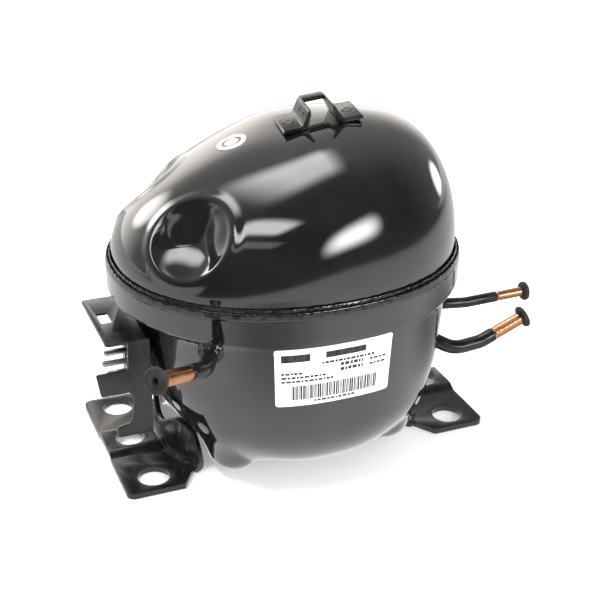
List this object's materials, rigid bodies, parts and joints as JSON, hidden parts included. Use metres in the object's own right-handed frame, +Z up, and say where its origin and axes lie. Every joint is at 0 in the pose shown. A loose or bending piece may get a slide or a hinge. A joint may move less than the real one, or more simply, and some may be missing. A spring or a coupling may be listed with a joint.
{
  "type": "hermetic reciprocating compressor",
  "caption": "Hermetic reciprocating compressor: glossy black welded oval shell on stamped feet with copper tube stubs, terminal fence and a sprung motor-driven piston pump inside.",
  "frame": {"origin": "centre of the four grommet holes, on the plane of the feet's undersides", "axes": "+Z up; +X along the shell towards the suction and discharge stubs; +Y to the rear, away from the label"},
  "size_m": [0.2531, 0.1735, 0.1768],
  "materials": {
    "gloss_black": "glossy black baked enamel",
    "satin_black": "satin black enamel on stamped steel",
    "weld_black": "rough painted weld bead",
    "copper": "bare bright copper tube",
    "rubber": "matte black rubber",
    "label_white": "white paper-faced label",
    "glass": "dark sealing glass",
    "pin_steel": "plated steel pins",
    "steel": "machined steel",
    "lamination": "stacked electrical steel",
    "cast": "grey cast iron",
    "winding": "enamelled copper winding",
    "rotor_alloy": "die-cast aluminium",
    "white_plastic": "moulded plastic"
  },
  "bodies": {
    "shell": {"upper_shell": "gloss_black", "lower_shell": "gloss_black", "seam_weld": "weld_black", "lifting_bracket": "satin_black", "left_foot": "satin_black", "right_foot": "satin_black", "terminal_fence": "satin_black", "terminal_cup": "steel", "terminal_glass": "glass", "terminal_pins": "pin_steel", "connector_block": "white_plastic", "lead_bundle": "white_plastic", "suction_tube": "satin_black", "suction_stub": "copper", "discharge_tube": "satin_black", "discharge_stub": "copper", "process_tube": "satin_black", "process_stub": "copper", "braze_rings": "weld_black", "rating_label": "label_white", "round_sticker": "label_white", "spring_seats": "steel", "suspension_springs": "steel", "discharge_loop": "copper"},
    "pump_unit": {"crankcase": "cast", "stator_core": "lamination", "upper_winding": "winding", "lower_winding": "winding", "stator_bolts": "steel", "spring_caps": "white_plastic", "valve_plate": "steel", "head_gasket": "rubber", "cylinder_head": "cast", "head_bolts": "steel", "suction_muffler": "white_plastic", "discharge_muffler": "steel"},
    "crank_unit": {"crankshaft": "cast", "counterweight": "cast", "rotor_core": "lamination", "rotor_rings": "rotor_alloy", "oil_pickup": "steel"},
    "gallery_plug": {"gallery_plug": "steel"},
    "slide_block": {"slide_block": "steel"},
    "piston_unit": {"piston": "steel", "yoke": "steel"},
    "suction_valve": {"suction_reed": "steel"},
    "discharge_valve": {"discharge_reed": "steel"},
    "suction_plug": {"suction_plug": "rubber"},
    "discharge_plug": {"discharge_plug": "rubber"},
    "process_plug": {"process_plug": "rubber"}
  },
  "joints": [
    {"name": "unit_bounce", "type": "slide", "parent": "shell", "child": "pump_unit", "axis": [0, 0, 1], "range_m": [-0.0025, 0.0025], "stiffness_N_per_m": 20000, "springref_m": 0.0023, "deforming": ["suspension_springs", "lead_bundle", "discharge_loop"]},
    {"name": "crank_turn", "type": "hinge", "parent": "pump_unit", "child": "crank_unit", "pos_m": [0, 0, 0.101], "axis": [0, 0, 1], "continuous": true},
    {"name": "gallery_plug_turn", "type": "hinge", "parent": "crank_unit", "child": "gallery_plug", "pos_m": [0.004, 0, 0.133], "axis": [0, 0, 1], "continuous": true},
    {"name": "slide_block_turn", "type": "hinge", "parent": "crank_unit", "child": "slide_block", "pos_m": [0.008, 0, 0.125], "axis": [0, 0, 1], "continuous": true},
    {"name": "piston_drive", "type": "hinge", "parent": "gallery_plug", "child": "piston_unit", "pos_m": [0.008, 0, 0.125], "axis": [0, 0, 1], "continuous": true},
    {"name": "suction_reed_lift", "type": "hinge", "parent": "pump_unit", "child": "suction_valve", "pos_m": [0.049, 0.005, 0.132], "axis": [0, 1, 0], "range_deg": [0, 1], "stiffness_Nm_per_rad": 0.05},
    {"name": "discharge_reed_lift", "type": "hinge", "parent": "pump_unit", "child": "discharge_valve", "pos_m": [0.052, -0.006, 0.132], "axis": [0, -1, 0], "range_deg": [0, 4], "stiffness_Nm_per_rad": 0.05},
    {"name": "suction_plug_pull", "type": "slide", "parent": "shell", "child": "suction_plug", "axis": [0.9217, -0.0077, 0.3879], "range_m": [0, 0.05]},
    {"name": "discharge_plug_pull", "type": "slide", "parent": "shell", "child": "discharge_plug", "axis": [0.9994, -0.0167, 0.0305], "range_m": [0, 0.05]},
    {"name": "process_plug_pull", "type": "slide", "parent": "shell", "child": "process_plug", "axis": [-0.7849, -0.5477, 0.2899], "range_m": [0, 0.05]}
  ],
  "couplings": [
    {"joint": "gallery_plug_turn", "follows": "crank_turn", "ratio": -2},
    {"joint": "slide_block_turn", "follows": "crank_turn", "ratio": -1},
    {"joint": "piston_drive", "follows": "crank_turn", "ratio": 1}
  ]
}
